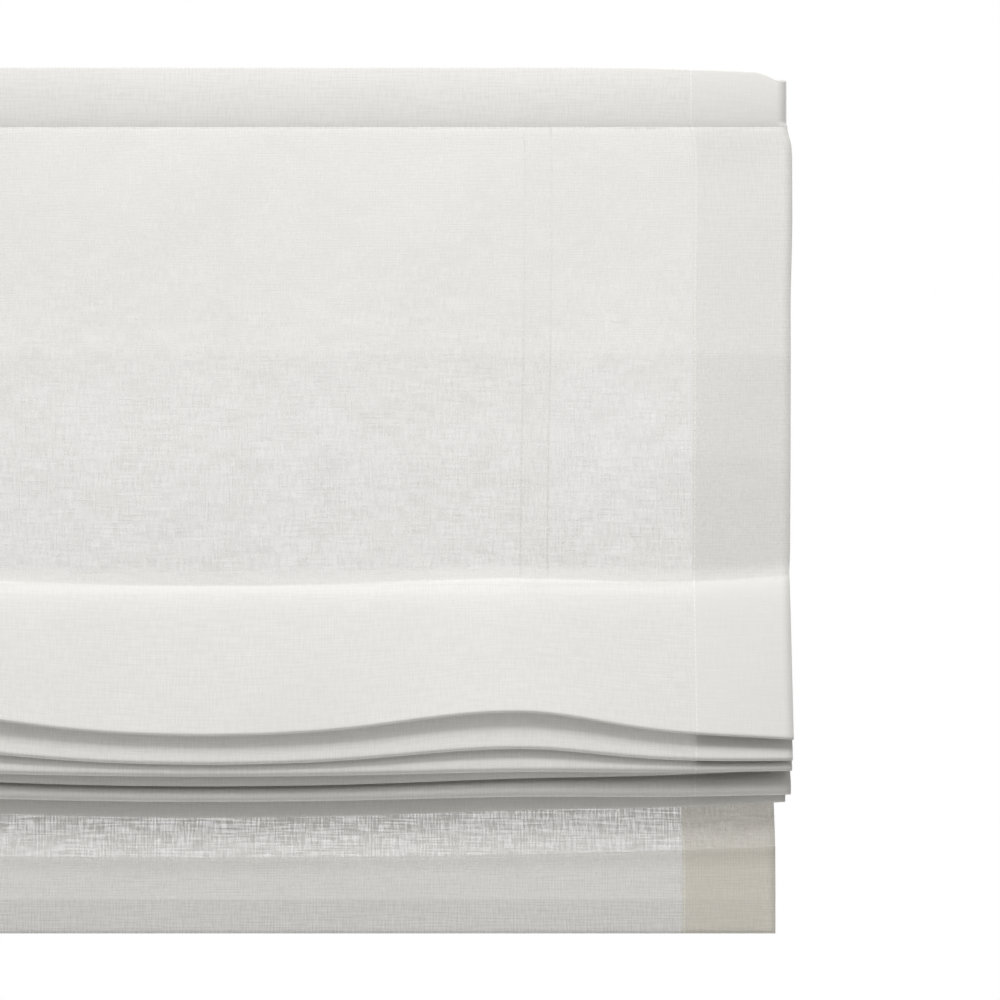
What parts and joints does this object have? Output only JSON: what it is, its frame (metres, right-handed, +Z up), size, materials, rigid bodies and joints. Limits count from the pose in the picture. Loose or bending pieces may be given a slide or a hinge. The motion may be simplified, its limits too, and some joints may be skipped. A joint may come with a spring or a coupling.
{
  "type": "roman blind",
  "caption": "Sheer linen roman blind with a soft stack of pleats on hidden battens, lift tapes, a spring-assisted headrail and two wall brackets.",
  "frame": {"origin": "middle of the four wall screw holes, on the wall's face", "axes": "+X to the right seen from the room, +Y into the wall, +Z up"},
  "size_m": [0.8, 0.074, 0.5988],
  "materials": {
    "cloth": "sheer off-white linen weave",
    "tape": "woven off-white lift tape",
    "strip": "woven hook and loop strip",
    "rail": "white powder coat",
    "white_plastic": "moulded white plastic",
    "grey_plastic": "moulded grey plastic",
    "dark_plastic": "moulded dark plastic",
    "clear_plastic": "milky moulded plastic",
    "fibreglass": "white pultruded rod",
    "steel": "bright steel",
    "zinc_steel": "zinc plated sheet",
    "bar_metal": "mill finish extrusion"
  },
  "bodies": {
    "root": {"fabric_panel": "cloth", "loop_strip": "strip", "hook_strip": "strip", "headrail": "rail", "end_cap_left": "white_plastic", "end_cap_right": "white_plastic", "bracket_left": "zinc_steel", "bracket_right": "zinc_steel", "spool_cradle_left": "grey_plastic", "spool_cradle_right": "grey_plastic", "motor_housing": "dark_plastic", "motor_cover": "dark_plastic", "motor_screws": "steel", "spring_band": "steel", "lift_tape_left": "tape", "lift_tape_right": "tape"},
    "latch_left": {"bracket_latch_left": "white_plastic"},
    "latch_right": {"bracket_latch_right": "white_plastic"},
    "shaft": {"lift_shaft": "steel", "tape_spool_left": "white_plastic", "tape_spool_right": "white_plastic", "power_spool": "white_plastic"},
    "store": {"storage_spool": "white_plastic"},
    "stack_1": {"batten_1": "fibreglass", "batten_pocket_1": "cloth", "batten_tips_1": "white_plastic", "tape_guides_1": "clear_plastic"},
    "stack_2": {"batten_2": "fibreglass", "batten_pocket_2": "cloth", "batten_tips_2": "white_plastic", "tape_guides_2": "clear_plastic"},
    "stack_3": {"batten_3": "fibreglass", "batten_pocket_3": "cloth", "batten_tips_3": "white_plastic", "tape_guides_3": "clear_plastic"},
    "stack_4": {"batten_4": "fibreglass", "batten_pocket_4": "cloth", "batten_tips_4": "white_plastic", "tape_guides_4": "clear_plastic"},
    "stack_5": {"batten_5": "fibreglass", "batten_pocket_5": "cloth", "batten_tips_5": "white_plastic", "tape_guides_5": "clear_plastic"},
    "stack_6": {"batten_6": "fibreglass", "batten_pocket_6": "cloth", "batten_tips_6": "white_plastic", "tape_guides_6": "clear_plastic"},
    "stack_7": {"batten_7": "fibreglass", "batten_pocket_7": "cloth", "batten_tips_7": "white_plastic", "tape_anchors": "clear_plastic", "bottom_bar": "bar_metal", "bar_caps": "white_plastic"}
  },
  "joints": [
    {"name": "stack_raise", "type": "slide", "parent": "root", "child": "stack_1", "axis": [0, 0, 1], "range_m": [0, 0.29]},
    {"name": "pleat_1", "type": "slide", "parent": "stack_1", "child": "stack_2", "axis": [0, 0, 1], "range_m": [-0.2247, 0], "deforming": ["fabric_panel", "lift_tape_left", "lift_tape_right", "spring_band"]},
    {"name": "pleat_2", "type": "slide", "parent": "stack_2", "child": "stack_3", "axis": [0, 0, 1], "range_m": [-0.2247, 0]},
    {"name": "pleat_3", "type": "slide", "parent": "stack_3", "child": "stack_4", "axis": [0, 0, 1], "range_m": [-0.2247, 0]},
    {"name": "pleat_4", "type": "slide", "parent": "stack_4", "child": "stack_5", "axis": [0, 0, 1], "range_m": [-0.2247, 0]},
    {"name": "pleat_5", "type": "slide", "parent": "stack_5", "child": "stack_6", "axis": [0, 0, 1], "range_m": [-0.2247, 0]},
    {"name": "pleat_6", "type": "slide", "parent": "stack_6", "child": "stack_7", "axis": [0, 0, 1], "range_m": [-0.2247, 0]},
    {"name": "shaft_turn", "type": "hinge", "parent": "root", "child": "shaft", "pos_m": [0, -0.019, 0.00397], "axis": [1, 0, 0], "continuous": true},
    {"name": "store_turn", "type": "hinge", "parent": "root", "child": "store", "pos_m": [0, -0.019, -0.01001], "axis": [1, 0, 0], "continuous": true},
    {"name": "latch_turn_left", "type": "hinge", "parent": "root", "child": "latch_left", "pos_m": [-0.3, -0.0141, 0.0185], "axis": [0, 0, 1], "range_deg": [-90, 0]},
    {"name": "latch_turn_right", "type": "hinge", "parent": "root", "child": "latch_right", "pos_m": [0.3, -0.0141, 0.0185], "axis": [0, 0, 1], "range_deg": [0, 90]}
  ],
  "couplings": [
    {"joint": "pleat_2", "follows": "pleat_1", "ratio": 1},
    {"joint": "pleat_3", "follows": "pleat_1", "ratio": 1},
    {"joint": "pleat_4", "follows": "pleat_1", "ratio": 1},
    {"joint": "pleat_5", "follows": "pleat_1", "ratio": 1},
    {"joint": "pleat_6", "follows": "pleat_1", "ratio": 1},
    {"joint": "shaft_turn", "follows": "pleat_1", "rad_per_m": -696.56},
    {"joint": "store_turn", "follows": "pleat_1", "rad_per_m": 627.33}
  ]
}
